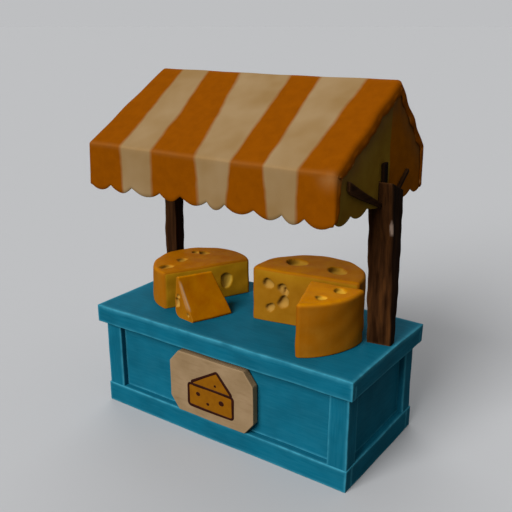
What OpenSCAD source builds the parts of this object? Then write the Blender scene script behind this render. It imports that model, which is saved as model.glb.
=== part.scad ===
// Wooden market stall: a panelled counter, two posts that stand on its worktop and carry a timber roof
// frame, a striped canvas roof with scalloped valances, a sign board and cut cheeses on display.
// Millimetres. X runs along the counter, -Y is the customers' side, Z is up, and the origin is on the
// ground under the middle of the stall.

/* [Counter] */
// Length of the worktop
worktop_l = 2000; // [1900:10:2600]
// Depth of the worktop
worktop_d = 990; // [900:10:1200]
// Height of the worktop's upper face above the ground
worktop_z = 750; // [700:10:950]
// Thickness of the worktop's boards
slab_t = 40; // [30:1:50]
// Height of the edge that shows, boards and fascia together
edge_h = 125; // [80:1:150]
// How far the worktop stands out past the corner posts, which is the fascia's thickness
overhang = 40; // [25:1:60]
// Height of the plinth rails
plinth_h = 146; // [100:1:180]
// Thickness of the plinth rails
plinth_t = 70; // [66:1:90]
// How far the plinth stands out past the corner posts
plinth_proud = 6; // [0:1:12]
// Width of a corner post on the long sides
corner_w = 130; // [90:1:160]
// Width of a corner post on the short sides
corner_d = 115; // [90:1:150]
// How far the panels lie behind the corner posts' faces
panel_recess = 42; // [20:1:44]
// Thickness of the panels
panel_t = 20; // [12:1:22]

/* [Sign] */
// Width of the sign board
sign_w = 672; // [400:2:900]
// Thickness of the sign board
sign_t = 60; // [30:1:80]
// Place of the sign board's middle along the counter
sign_x = -22; // [-200:1:200]
// Length of the corner cuts, along the width
sign_cut_x = 70; // [20:1:120]
// Length of the corner cuts, along the height
sign_cut_z = 88; // [20:1:120]
// Gap between the plinth's top and the sign board
sign_gap = 2; // [0:1:20]
// Gap between the sign board and the fascia above it
sign_head_gap = 41; // [5:1:120]

/* [Posts] */
// How far a post's middle lies outside the gable canvas
post_out = 6; // [-20:1:20]
// How far the posts' tops lie below the eaves
post_below_eave = 123; // [100:1:160]
// Width of the right post's foot, along the counter
foot_w = 160; // [120:1:180]
// Depth of the right post's foot
foot_d = 98; // [80:1:160]
// Width of the right post's head, along the counter
head_w = 140; // [120:1:180]
// Depth of the right post's head
head_d = 162; // [100:1:200]
// Place of the right post's rear face, behind the middle of the stall
post_back = 106; // [60:1:160]
// Width of the left post, along the counter
left_post_w = 94; // [80:1:140]
// Depth of the left post
left_post_d = 94; // [80:1:140]
// Place of the left post's rear face, behind the middle of the stall
left_post_back = 267; // [200:1:300]
// How far the left post's head leans in over its foot
left_post_lean = 10; // [0:1:20]
// Slope of the sawn tops of the posts, outside the gable canvas
post_top_slope = 23; // [10:1:35]

/* [Roof frame] */
// Thickness of the truss timbers, along the counter
truss_t = 70; // [50:1:90]
// Depth of the tie beams
tie_h = 80; // [60:1:120]
// Depth of the rafters
rafter_h = 65; // [50:1:90]
// Width of the ridge beam
ridge_w = 60; // [40:1:80]
// Depth of the ridge beam's sides below the rafters' upper ends
ridge_h = 90; // [60:1:120]
// Width of the eave rails
rail_w = 50; // [30:1:80]
// Depth of the eave rails
rail_h = 90; // [60:1:110]
// Thickness of the boards nailed on outside the gable canvas
board_t = 18; // [12:1:30]
// Width of the short upright board over a post
stub_w = 54; // [40:1:80]
// Length of the short upright board above the tie beam's underside
stub_h = 102; // [70:1:130]
// How far that board lies behind the front face of the post's head
stub_in = 18; // [0:1:30]
// How far the front knee brace reaches from the post
brace_reach = 403; // [300:1:440]
// Depth of the front knee brace at the post
brace_heel = 31; // [20:1:50]
// Depth of the front knee brace at its upper end
brace_tip = 53; // [40:1:70]
// How far the front knee brace's foot lies below the post's top
brace_drop = 158; // [130:1:170]
// How far the front knee brace's upper end rises above the post's top
brace_climb = 72; // [60:1:85]
// Length of the cut under the front knee brace's upper end
brace_nose_l = 22; // [10:1:40]
// Height of that cut
brace_nose_h = 23; // [10:1:40]
// How far the rear knee brace reaches from the post
rear_brace_reach = 220; // [150:1:240]
// Width of the rear knee brace
rear_brace_w = 27; // [20:1:50]
// How far the rear knee brace's foot lies below the post's top
rear_brace_drop = 165; // [140:1:180]
// Slope of the rear knee brace
rear_brace_rise = 35.5; // [25:0.5:40]

/* [Canopy] */
// How far the gable canvas lies in from the worktop's end
gable_in = 113; // [95:1:200]
// How far the eaves stand out past the worktop
eave_out = 75; // [20:1:150]
// Height of the eaves above the worktop
eave_rise = 1153; // [1100:1:1400]
// Height of the ridge above the eaves
ridge_rise = 413; // [300:1:600]
// How far the ridge lies behind the middle of the stall
ridge_back = 162; // [0:1:250]
// Thickness of the canvas with its hems
canvas_t = 8; // [4:1:12]
// Height of the valances down to the notches between scallops
valance_h = 250; // [200:1:300]
// How far the long valances' scallops hang below the notches
scallop_drop = 40; // [20:1:60]
// How far the gables' scallops hang below the notches
gable_drop = 30; // [20:1:60]
// Room left round a post where it passes the gable canvas
post_gap = 4; // [2:1:10]

/* [Cheeses] */
// Radius of the large wheel on the right
wheel_r = 367; // [300:1:375]
// Height of the large wheel's rear piece
wheel_h = 360; // [200:1:380]
// How far the large wheel's cut lies in front of its middle
wheel_cut = 60; // [0:1:100]
// Place of the large wheel's middle, in from the right gable
wheel_in = 506; // [480:1:600]
// Place of the large wheel's middle, behind the middle of the stall
wheel_back = 45; // [30:1:100]
// Turn of the large wheel's cut
wheel_turn = 9; // [0:1:12]
// Radius of the rind on the quarter in front of it
quarter_r = 466; // [400:1:466]
// Height of the quarter
quarter_h = 340; // [200:1:360]
// Gap between the quarter's point and the large wheel's cut
quarter_gap = 10; // [5:1:40]
// Place of the quarter's point, to the right of the large wheel's middle
quarter_along = 54; // [0:1:80]
// Direction of the quarter's left cut
quarter_left = -71; // [-85:1:-60]
// How much less the quarter's rear cut is turned than the large wheel's
quarter_lag = 3; // [1:1:10]
// How far the middle of the quarter's rind lies to the left of its point
quarter_rind_x = 96; // [60:1:110]
// How far the middle of the quarter's rind lies in front of its point
quarter_rind_y = 7; // [0:1:30]
// Radius of the half wheel on the left
half_r = 342; // [250:1:345]
// Height of the half wheel
half_h = 262; // [180:1:300]
// How far the half wheel's cut lies in front of its middle
half_cut = 105; // [0:1:120]
// Place of the half wheel's middle, in from the left gable
half_in = 390; // [380:1:500]
// Place of the half wheel's middle, behind the middle of the stall
half_back = 51; // [0:1:60]
// Turn of the half wheel's cut
half_turn = 63; // [50:1:70]
// Length of the wedge
wedge_l = 307; // [200:1:330]
// Height of the wedge
wedge_h = 290; // [150:1:300]
// Width of the wedge's foot
wedge_w = 172; // [150:1:190]
// How far the wedge's thin edge stands in over its foot's near edge
wedge_lean = 148; // [60:1:150]
// Radius of the rind's foot
wedge_round = 50; // [20:1:70]
// Height of the rind's upright side
wedge_side = 110; // [80:1:140]
// How far the near cut is turned from square
wedge_skew = 12; // [0:1:15]
// Place of the wedge's near corner, to the right of the half wheel's middle
wedge_along = 258; // [240:1:300]
// How far the wedge's near corner lies in front of the half wheel's middle
wedge_front = 421; // [415:1:425]
// Turn of the wedge
wedge_turn = 158; // [150:1:162]

/* [Hidden] */

LEFT = -1;
RIGHT = 1;
FRONT = -1;
BACK = 1;
CUT = 1; // how far a cutting body runs past what it cuts
RAIL_PLAY = 6; // room between the canvas and the eave rails' tops

teal = [0.05, 0.36, 0.44];
dark_wood = [0.20, 0.10, 0.05];
pale_wood = [0.60, 0.47, 0.34];
orange_canvas = [0.80, 0.42, 0.03];
cheese_yellow = [0.80, 0.50, 0.08];

// counter
slab_z = worktop_z - slab_t;
sign_z = plinth_h + sign_gap;
sign_h = worktop_z - edge_h - sign_head_gap - sign_z;
case_l = worktop_l - 2 * overhang;
case_d = worktop_d - 2 * overhang;
plinth_l = case_l + 2 * plinth_proud;
plinth_d = case_d + 2 * plinth_proud;

// canopy outline in the Y-Z plane: outer ridge and eaves, and the canvas's inner face
canopy_l = worktop_l - 2 * gable_in;
ridge_y = ridge_back;
eave_y = worktop_d / 2 + eave_out;
eave_z = worktop_z + eave_rise;
ridge_z = eave_z + ridge_rise;
pitch_front = atan2(ridge_rise, ridge_y + eave_y);
pitch_rear = atan2(ridge_rise, eave_y - ridge_y);
drop_front = canvas_t / cos(pitch_front);
drop_rear = canvas_t / cos(pitch_rear);
inner_y = eave_y - canvas_t;
function under_front(y) = ridge_z - (ridge_y - y) * tan(pitch_front) - drop_front;
function under_rear(y) = ridge_z - (y - ridge_y) * tan(pitch_rear) - drop_rear;
inner_ridge_y = ridge_y - (drop_rear - drop_front) / (tan(pitch_front) + tan(pitch_rear));
inner_ridge_z = under_front(inner_ridge_y);
notch_z = eave_z - valance_h;

// roof frame
gable_x = canopy_l / 2;
truss_x = gable_x - canvas_t - truss_t;
rail_top = min(under_front(-inner_y), under_rear(inner_y)) - RAIL_PLAY;
rail_y = inner_y - rail_w;

// posts, where side is -1 on the left and 1 on the right
post_x = gable_x + post_out;
post_top = eave_z - post_below_eave;
post_h = post_top - worktop_z;
function post_foot(side) = side < 0 ? [left_post_w, left_post_d] : [foot_w, foot_d];
function post_head(side) = side < 0 ? [left_post_w, left_post_d] : [head_w, head_d];
function post_rear(side) = side < 0 ? left_post_back : post_back;
function post_lean(side) = side < 0 ? left_post_lean : 0;
function head_front(side) = post_rear(side) - post_head(side).y;
function post_front(side, z) = let(t = (z - worktop_z) / post_h)
    post_rear(side) - post_foot(side).y * (1 - t) - post_head(side).y * t;
function sawn_top(side, y) = post_top - (y - head_front(side)) * tan(post_top_slope);

// relative widths of the hand-cut scallops, from left to right and from front to back
long_scallops = [174, 183, 234, 153, 199, 122, 209, 184, 139, 177];
gable_scallops = [180, 187, 200, 205, 202, 164];
SCALLOP_STEPS = 8;

function sum(list, n) = n <= 0 ? 0 : list[n - 1] + sum(list, n - 1);

// lower edge of a valance from 0 to length, as parabolic arcs of the given relative widths
function scallops(widths, length, drop) = let(total = sum(widths, len(widths))) [
    for (i = [0 : len(widths) - 1], k = [0 : SCALLOP_STEPS - 1])
        let(t = k / SCALLOP_STEPS)
        [length * (sum(widths, i) + widths[i] * t) / total, -drop * 4 * t * (1 - t)],
    [length, 0]
];

module on_side(side) {
    mirror([side < 0 ? 1 : 0, 0, 0]) children();
}

// extrudes an outline drawn in the Y-Z plane along X, from x0 over a length
module along_x(x0, length) {
    translate([x0, 0, 0]) rotate([90, 0, 90]) linear_extrude(length) children();
}

// extrudes an outline drawn in the X-Z plane along Y, from y0 over a length
module along_y(y0, length) {
    translate([0, y0 + length, 0]) rotate([90, 0, 0]) linear_extrude(length) children();
}

module worktop() {
    color(teal) translate([-worktop_l / 2, -worktop_d / 2, slab_z]) cube([worktop_l, worktop_d, slab_t]);
}

module fascia_long(way) {
    y0 = way < 0 ? -worktop_d / 2 : worktop_d / 2 - overhang;
    color(teal) translate([-worktop_l / 2, y0, worktop_z - edge_h])
        cube([worktop_l, overhang, edge_h - slab_t]);
}

module fascia_short(side) {
    color(teal) on_side(side) translate([worktop_l / 2 - overhang, -case_d / 2, worktop_z - edge_h])
        cube([overhang, case_d, edge_h - slab_t]);
}

module corner_post(side, way) {
    y0 = way < 0 ? -case_d / 2 : case_d / 2 - corner_d;
    color(teal) on_side(side) translate([case_l / 2 - corner_w, y0, plinth_h])
        cube([corner_w, corner_d, slab_z - plinth_h]);
}

module panel_long(way) {
    y0 = way < 0 ? -case_d / 2 + panel_recess : case_d / 2 - panel_recess - panel_t;
    color(teal) translate([-case_l / 2 + corner_w, y0, plinth_h])
        cube([case_l - 2 * corner_w, panel_t, slab_z - plinth_h]);
}

module panel_short(side) {
    color(teal) on_side(side)
        translate([case_l / 2 - panel_recess - panel_t, -case_d / 2 + corner_d, plinth_h])
        cube([panel_t, case_d - 2 * corner_d, slab_z - plinth_h]);
}

module plinth_long(way) {
    y0 = way < 0 ? -plinth_d / 2 : plinth_d / 2 - plinth_t;
    color(teal) translate([-plinth_l / 2, y0, 0]) cube([plinth_l, plinth_t, plinth_h]);
}

module plinth_short(side) {
    color(teal) on_side(side) translate([plinth_l / 2 - plinth_t, -plinth_d / 2 + plinth_t, 0])
        cube([plinth_t, plinth_d - 2 * plinth_t, plinth_h]);
}

// an octagonal board that lies against the front panel, just over the plinth
module sign_board() {
    half = sign_w / 2;
    color(pale_wood)
        translate([sign_x, 0, sign_z])
            along_y(-case_d / 2 + panel_recess - sign_t, sign_t)
                polygon([
                    [-half + sign_cut_x, 0], [half - sign_cut_x, 0], [half, sign_cut_z],
                    [half, sign_h - sign_cut_z], [half - sign_cut_x, sign_h], [-half + sign_cut_x, sign_h],
                    [-half, sign_h - sign_cut_z], [-half, sign_cut_z]
                ]);
}

// a hewn post with an upright rear face, whose top is sawn to a slope outside the gable canvas
module post(side) {
    foot = post_foot(side);
    head = post_head(side);
    lean = post_lean(side);
    color(dark_wood) on_side(side)
        difference() {
            translate([post_x, post_rear(side), worktop_z])
                polyhedron(
                    points = [
                        [-foot.x / 2, -foot.y, 0], [foot.x / 2, -foot.y, 0],
                        [foot.x / 2, 0, 0], [-foot.x / 2, 0, 0],
                        [-head.x / 2 - lean, -head.y, post_h], [head.x / 2 - lean, -head.y, post_h],
                        [head.x / 2 - lean, 0, post_h], [-head.x / 2 - lean, 0, post_h]
                    ],
                    faces = [
                        [0, 1, 2, 3], [7, 6, 5, 4], [0, 4, 5, 1], [1, 5, 6, 2], [2, 6, 7, 3], [3, 7, 4, 0]
                    ]
                );
            along_x(gable_x - canvas_t, foot.x)
                polygon([
                    [head_front(side), post_top],
                    [post_rear(side) + CUT, sawn_top(side, post_rear(side) + CUT)],
                    [post_rear(side) + CUT, post_top + CUT], [head_front(side), post_top + CUT]
                ]);
        }
}

// lies across the post's head, inside the gable canvas, from one eave rail to the other
module tie_beam(side) {
    color(dark_wood) on_side(side) translate([truss_x, -rail_y, post_top])
        cube([truss_t, 2 * rail_y, tie_h]);
}

// from the eave rail up to the ridge beam, close under the canvas
module rafter_front(side) {
    depth = rafter_h / cos(pitch_front);
    top_y = ridge_y - ridge_w / 2;
    seat_y = ridge_y - (under_front(ridge_y) - depth - rail_top) / tan(pitch_front);
    color(dark_wood) on_side(side) along_x(truss_x, truss_t)
        polygon([
            [-inner_y, rail_top], [seat_y, rail_top], [top_y, under_front(top_y) - depth],
            [top_y, under_front(top_y)], [-inner_y, under_front(-inner_y)]
        ]);
}

module rafter_rear(side) {
    depth = rafter_h / cos(pitch_rear);
    top_y = ridge_y + ridge_w / 2;
    seat_y = ridge_y + (under_rear(ridge_y) - depth - rail_top) / tan(pitch_rear);
    color(dark_wood) on_side(side) along_x(truss_x, truss_t)
        polygon([
            [inner_y, under_rear(inner_y)], [top_y, under_rear(top_y)], [top_y, under_rear(top_y) - depth],
            [seat_y, rail_top], [inner_y, rail_top]
        ]);
}

// its upper faces follow both slopes of the canvas
module ridge_beam() {
    half = ridge_w / 2;
    low_z = under_front(ridge_y - half) - ridge_h;
    color(dark_wood) along_x(-gable_x + canvas_t, canopy_l - 2 * canvas_t)
        polygon([
            [ridge_y - half, low_z], [ridge_y + half, low_z], [ridge_y + half, under_rear(ridge_y + half)],
            [inner_ridge_y, inner_ridge_z], [ridge_y - half, under_front(ridge_y - half)]
        ]);
}

module eave_rail(way) {
    y0 = way < 0 ? -inner_y : rail_y;
    color(dark_wood) translate([-gable_x + canvas_t, y0, rail_top - rail_h])
        cube([canopy_l - 2 * canvas_t, rail_w, rail_h]);
}

// the short board on the post's sawn top, nailed through the canvas into the tie beam
module post_stub(side) {
    y0 = head_front(side) + stub_in;
    y1 = y0 + stub_w;
    color(dark_wood) on_side(side) along_x(gable_x, board_t)
        polygon([
            [y0, sawn_top(side, y0)], [y1, sawn_top(side, y1)],
            [y1, post_top + stub_h], [y0, post_top + stub_h]
        ]);
}

// outer knee brace from the post towards the front eave, deepest at its upper end
module brace_front(side) {
    heel_z = post_top - brace_drop;
    heel_y = post_front(side, heel_z);
    nape_z = heel_z + brace_heel;
    tip_y = heel_y - brace_reach;
    tip_z = post_top + brace_climb;
    color(dark_wood) on_side(side) along_x(gable_x, board_t)
        polygon([
            [heel_y, heel_z], [post_front(side, nape_z), nape_z], [tip_y, tip_z],
            [tip_y, tip_z - brace_tip], [tip_y + brace_nose_l, tip_z - brace_tip - brace_nose_h]
        ]);
}

// outer knee brace from the post towards the rear eave, with its heel cut upright
module brace_rear(side) {
    length = rear_brace_reach / cos(rear_brace_rise);
    color(dark_wood) on_side(side)
        translate([gable_x, post_rear(side), post_top - rear_brace_drop]) rotate([rear_brace_rise, 0, 0])
            along_x(0, board_t)
                polygon([
                    [0, 0], [length, 0], [length, rear_brace_w],
                    [rear_brace_w * tan(rear_brace_rise), rear_brace_w]
                ]);
}

module canopy_slope_front() {
    color(orange_canvas) along_x(-gable_x, canopy_l)
        polygon([
            [ridge_y, ridge_z], [-eave_y, eave_z], [-eave_y, under_front(-inner_y)],
            [-inner_y, under_front(-inner_y)], [inner_ridge_y, inner_ridge_z]
        ]);
}

module canopy_slope_rear() {
    color(orange_canvas) along_x(-gable_x, canopy_l)
        polygon([
            [ridge_y, ridge_z], [inner_ridge_y, inner_ridge_z], [inner_y, under_rear(inner_y)],
            [eave_y, under_rear(inner_y)], [eave_y, eave_z]
        ]);
}

// a straight strip that hangs from the eave and ends in scallops
module valance(way) {
    y0 = way < 0 ? -eave_y : inner_y;
    top = way < 0 ? under_front(-inner_y) : under_rear(inner_y);
    color(orange_canvas)
        translate([-gable_x, 0, notch_z]) along_y(y0, canvas_t)
            polygon(concat(
                scallops(long_scallops, canopy_l, scallop_drop),
                [[canopy_l, top - notch_z], [0, top - notch_z]]
            ));
}

// closes the gable between the slopes and the valances, with a slot round the post's head
module gable_canvas(side) {
    slot_front = head_front(side) - post_gap;
    slot_rear = post_rear(side) + post_gap;
    foot_z = notch_z - gable_drop - CUT;
    color(orange_canvas) on_side(side) along_x(gable_x - canvas_t, canvas_t)
        difference() {
            translate([-inner_y, notch_z])
                polygon(concat(
                    scallops(gable_scallops, 2 * inner_y, gable_drop),
                    [
                        [2 * inner_y, under_rear(inner_y) - notch_z],
                        [inner_ridge_y + inner_y, inner_ridge_z - notch_z],
                        [0, under_front(-inner_y) - notch_z]
                    ]
                ));
            polygon([
                [slot_front, foot_z], [slot_rear, foot_z],
                [slot_rear, sawn_top(side, slot_rear) + post_gap], [slot_front, post_top + post_gap]
            ]);
        }
}

// a wheel cut by one upright plane, at a distance in front of its middle
module cut_wheel(radius, height, cut) {
    intersection() {
        cylinder(r = radius, h = height, $fn = 96);
        translate([-radius - CUT, -cut, -CUT])
            cube([2 * (radius + CUT), radius + cut + CUT, height + 2 * CUT]);
    }
}

module cheese_half_wheel() {
    color(cheese_yellow) translate([half_in - gable_x, half_back, worktop_z])
        rotate([0, 0, half_turn]) cut_wheel(half_r, half_h, half_cut);
}

module cheese_wheel_rear() {
    color(cheese_yellow) translate([gable_x - wheel_in, wheel_back, worktop_z])
        rotate([0, 0, wheel_turn]) cut_wheel(wheel_r, wheel_h, wheel_cut);
}

// a quarter whose point lies just in front of the large wheel's cut; its rind is round about a middle
// that lies to the left of the point
module cheese_wheel_quarter() {
    back = wheel_turn - quarter_lag;
    reach = 2 * quarter_r;
    point_x = gable_x - wheel_in + quarter_along;
    point_y = wheel_back - wheel_cut / cos(wheel_turn) + quarter_along * tan(wheel_turn) - quarter_gap;
    color(cheese_yellow) translate([point_x, point_y, worktop_z])
        intersection() {
            translate([-quarter_rind_x, -quarter_rind_y, 0])
                cylinder(r = quarter_r, h = quarter_h, $fn = 96);
            translate([0, 0, -CUT]) linear_extrude(quarter_h + 2 * CUT)
                polygon([
                    [0, 0],
                    for (a = [quarter_left, (quarter_left + back) / 2, back]) reach * [cos(a), sin(a)]
                ]);
        }
}

// a wedge that stands on its rounded rind, with its thin edge up, in front of the half wheel;
// its near cut is not square to its length
module cheese_wedge() {
    reach = wedge_w * tan(wedge_skew) + CUT;
    outline = concat(
        [[wedge_lean, wedge_h], [0, 0]],
        [for (a = [-90 : 15 : 0]) [wedge_w - wedge_round * (1 - cos(a)), wedge_round * (1 + sin(a))]],
        [[wedge_w, wedge_side]]
    );
    color(cheese_yellow)
        translate([half_in - gable_x + wedge_along, half_back - wedge_front, worktop_z])
            rotate([0, 0, wedge_turn])
                difference() {
                    translate([0, reach, 0]) rotate([90, 0, 0])
                        linear_extrude(wedge_l + reach) polygon(outline);
                    rotate([0, 0, wedge_skew]) translate([-wedge_w, 0, -CUT])
                        cube([3 * wedge_w, 2 * wedge_w, wedge_h + 2 * CUT]);
                }
}

worktop();
fascia_long(FRONT);  // fascia_front
fascia_long(BACK);  // fascia_back
fascia_short(LEFT);  // fascia_left
fascia_short(RIGHT);  // fascia_right
corner_post(LEFT, FRONT);  // corner_post_front_left
corner_post(RIGHT, FRONT);  // corner_post_front_right
corner_post(LEFT, BACK);  // corner_post_back_left
corner_post(RIGHT, BACK);  // corner_post_back_right
panel_long(FRONT);  // panel_front
panel_long(BACK);  // panel_back
panel_short(LEFT);  // panel_left
panel_short(RIGHT);  // panel_right
plinth_long(FRONT);  // plinth_front
plinth_long(BACK);  // plinth_back
plinth_short(LEFT);  // plinth_left
plinth_short(RIGHT);  // plinth_right
sign_board();
post(LEFT);  // post_left
post(RIGHT);  // post_right
tie_beam(LEFT);  // tie_beam_left
tie_beam(RIGHT);  // tie_beam_right
rafter_front(LEFT);  // rafter_front_left
rafter_front(RIGHT);  // rafter_front_right
rafter_rear(LEFT);  // rafter_rear_left
rafter_rear(RIGHT);  // rafter_rear_right
ridge_beam();
eave_rail(FRONT);  // eave_rail_front
eave_rail(BACK);  // eave_rail_rear
post_stub(LEFT);  // post_stub_left
post_stub(RIGHT);  // post_stub_right
brace_front(LEFT);  // brace_front_left
brace_front(RIGHT);  // brace_front_right
brace_rear(LEFT);  // brace_rear_left
brace_rear(RIGHT);  // brace_rear_right
canopy_slope_front();
canopy_slope_rear();
valance(FRONT);  // valance_front
valance(BACK);  // valance_rear
gable_canvas(LEFT);  // gable_canvas_left
gable_canvas(RIGHT);  // gable_canvas_right
cheese_half_wheel();
cheese_wedge();
cheese_wheel_rear();
cheese_wheel_quarter();
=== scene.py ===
# Wooden market stall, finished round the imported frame: painted counter, hewn posts, striped canvas roof,
# pictured sign board and cut cheeses. Metres, +Z up; customers stand on the -Y side.
import math
import bpy
import numpy as np
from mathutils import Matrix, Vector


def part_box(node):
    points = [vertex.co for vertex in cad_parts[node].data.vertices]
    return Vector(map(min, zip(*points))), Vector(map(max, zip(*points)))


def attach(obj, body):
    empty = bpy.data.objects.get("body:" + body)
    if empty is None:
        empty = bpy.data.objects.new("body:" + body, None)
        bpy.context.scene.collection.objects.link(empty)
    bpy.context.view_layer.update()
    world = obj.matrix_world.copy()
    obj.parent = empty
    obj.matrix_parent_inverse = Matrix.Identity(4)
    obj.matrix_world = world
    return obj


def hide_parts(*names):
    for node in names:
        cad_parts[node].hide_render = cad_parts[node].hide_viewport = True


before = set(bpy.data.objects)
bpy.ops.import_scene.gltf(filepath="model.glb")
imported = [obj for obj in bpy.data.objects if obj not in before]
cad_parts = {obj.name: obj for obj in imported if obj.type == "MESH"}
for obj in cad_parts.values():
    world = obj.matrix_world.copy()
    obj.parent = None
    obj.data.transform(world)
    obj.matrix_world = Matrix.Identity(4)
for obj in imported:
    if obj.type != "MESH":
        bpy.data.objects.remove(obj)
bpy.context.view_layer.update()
mm = 0.001
body = "root"
print("frame loaded:", len(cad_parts), "nodes")


def nodePoints(node):
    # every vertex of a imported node, as one array
    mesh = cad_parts[node].data
    points = np.empty(len(mesh.vertices) * 3)
    mesh.vertices.foreach_get("co", points)
    return points.reshape(-1, 3)


def nodeBox(node):
    low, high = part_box(node)
    return np.array(low), np.array(high)


# how far hand work strays, and the height at which it does so fully
hand = {"wander": 2.2 * mm, "settled": 0.25}


def drift(points):
    # a slow wander of all pieces together, so that joints stay shut: three sines of the place along each
    # axis, and none of it upwards at the ground
    waves = np.array([[7.1, 3.3, 5.2], [-4.4, 9.7, 2.9], [3.1, -5.8, 8.6]])
    phases = np.array([0.4, 2.1, 4.0])
    moved = hand["wander"] * np.sin(points @ waves.T + phases)
    moved += 0.45 * hand["wander"] * np.sin(points @ (2.3 * waves[::-1]).T + phases[::-1])
    moved[:, 2] *= np.clip(points[:, 2] / hand["settled"], 0, 1)
    return points + moved


def makeMesh(name, points, quads, triangles=None, attributes=None):
    # a mesh from whole arrays; its faces are turned outwards by the sign of its volume
    triangles = np.empty((0, 3), int) if triangles is None else triangles
    halves = np.concatenate([quads[:, :3], quads[:, [0, 2, 3]], triangles])
    a, b, c = (points[halves[:, k]] for k in range(3))
    if np.einsum("ij,ij->i", a, np.cross(b, c)).sum() < 0:
        quads, triangles = quads[:, ::-1], triangles[:, ::-1]
    mesh = bpy.data.meshes.new(name)
    mesh.from_pydata(points.tolist(), [], quads.tolist() + triangles.tolist(), shade_flat=False)
    for key, values in (attributes or {}).items():
        kind, field = ("FLOAT_VECTOR", "vector") if values.ndim == 2 else ("FLOAT", "value")
        layer = mesh.attributes.new(key, kind, "POINT")
        layer.data.foreach_set(field, values.astype(np.float32).ravel())
    mesh.validate()
    piece = bpy.data.objects.new(name, mesh)
    bpy.context.scene.collection.objects.link(piece)
    return piece


def finishPiece(piece, material, nodes=()):
    piece.data.materials.append(material)
    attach(piece, body)
    if nodes:
        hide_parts(*nodes)


def stations(length, coarse, near=(3, 7, 12, 20, 34)):
    # shares of a length, close together at both ends and no further apart than coarse in between
    close = np.array(near) * mm
    close = close[close < 0.45 * length]
    last = close[-1] if len(close) else 0
    count = max(1, int(math.ceil((length - 2 * last) / coarse)))
    middle = np.linspace(last, length - last, count + 1)
    return np.unique(np.round(np.concatenate([[0], close, middle, length - close, [length]]) / length, 6))


def ringQuads(rows, columns):
    # the quads between rows of a grid whose columns close on themselves
    r, c = np.meshgrid(np.arange(rows - 1), np.arange(columns), indexing="ij")
    n = (c + 1) % columns
    r, above = r * columns, (r + 1) * columns
    return np.stack([r + c, r + n, above + n, above + c], -1).reshape(-1, 4)


def outlineOf(flat, radii, coarse, turnSteps=5):
    # a convex outline with rounded corners, as the core that a disc rolls along, the disc's radius and its
    # normal: the outline is core + radius * normal, so an inset is only a smaller radius
    sides = np.roll(flat, -1, 0) - flat
    lengths = np.linalg.norm(sides, axis=1)
    along = sides / lengths[:, None]
    out = np.stack([along[:, 1], -along[:, 0]], 1)
    before = np.roll(out, 1, 0)
    share = radii / (1 + (out * before).sum(1))
    core = flat - share[:, None] * (out + before)
    angle = np.arctan2(out[:, 1], out[:, 0])
    parts = []
    for k in range(len(flat)):
        start = angle[k - 1]
        turn = (angle[k] - start) % (2 * math.pi)
        sweep = start + turn * np.linspace(0, 1, turnSteps if turn > 0.2 else 2)
        fan = np.stack([np.cos(sweep), np.sin(sweep)], 1)
        parts.append((np.repeat(core[k:k + 1], len(fan), 0), np.full(len(fan), radii[k]), fan))
        n = (k + 1) % len(flat)
        t = stations(lengths[k], coarse)[1:-1, None]
        line = core[k] * (1 - t) + core[n] * t
        parts.append((line, (radii[k] * (1 - t) + radii[n] * t)[:, 0], np.repeat(out[k:k + 1], len(t), 0)))
    return [np.concatenate([p[i] for p in parts]) for i in range(3)]


def basis(along, up=(0, 0, 1)):
    # three unit vectors as columns: across, up and along, right handed
    h = np.array(along, float) / np.linalg.norm(along)
    b = np.array(up, float)
    if abs(h @ b) > 0.99:
        b = np.array([0, 1, 0.0])
    b = b - (b @ h) * h
    b /= np.linalg.norm(b)
    return np.stack([np.cross(b, h), b, h], 1)


def hullOf(flat):
    # the corners of a node seen along its length, counterclockwise round its middle, without the ones on
    # straight sides; every member is convex, so their angles round the middle put them in order
    flat = np.unique(np.round(flat, 5), axis=0)
    away = flat - flat.mean(0)
    ring = flat[np.argsort(np.arctan2(away[:, 1], away[:, 0]))]
    ahead = np.roll(ring, -1, 0) - ring
    back = ring - np.roll(ring, 1, 0)
    turn = back[:, 0] * ahead[:, 1] - back[:, 1] * ahead[:, 0]
    return ring[turn > 1e-7]


def beadedPrism(outline, low, high, beads, coarse, capSteps=(4, 10, 20, 40), capRows=4, turnSteps=5):
    # a convex outline carried from low to high: at each end it is drawn in round a quarter-circle bead, and
    # then the cap runs in to a pole at its middle. Gives the rows of points, their normals and the two poles
    core, radius, out = outline
    middle = core.mean(0)
    quarter = np.linspace(0, math.pi / 2, turnSteps)
    eases = [np.minimum(e, radius) for e in beads]
    reach = np.linalg.norm(core - middle, axis=1).min() + radius.min()
    close = 1 - np.array([s for s in capSteps if s * mm < 0.8 * reach]) * mm / reach
    last = close[-1] if len(close) else 1.0
    shares = np.concatenate([close, last * np.linspace(1, 0, capRows + 1)[1:-1]])
    levels = stations(high - low, coarse)
    rows, normals = [], []
    flatOut = np.concatenate([out, np.zeros((len(out), 1))], 1)
    for sign, ease, end in ((-1, eases[0], low), (1, eases[1], high)):
        edge = core + (radius - ease)[:, None] * out
        cap = [np.column_stack([middle + s * (edge - middle), np.full(len(out), end)]) for s in shares[::-1]]
        bead = []
        for q in quarter[::-1]:
            ring = core + (radius - ease * (1 - math.cos(q)))[:, None] * out
            bead.append(np.column_stack([ring, end - sign * ease * (1 - math.sin(q))]))
        faces = [np.tile([0, 0, sign], (len(out), 1))] * len(cap)
        faces += [flatOut * math.cos(q) + np.array([0, 0, sign]) * math.sin(q) for q in quarter[::-1]]
        rows.append(cap + bead if sign < 0 else (cap + bead)[::-1])
        normals.append(faces if sign < 0 else faces[::-1])
    bottom, top = rows[0][-1], rows[1][0]
    side = [bottom + t * (top - bottom) for t in levels[1:-1]]
    allRows = np.array(rows[0] + side + rows[1])
    allNormals = np.array(normals[0] + [flatOut] * len(side) + normals[1])
    poles = np.array([[*middle, low], [*middle, high]])
    return allRows, allNormals, poles


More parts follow.
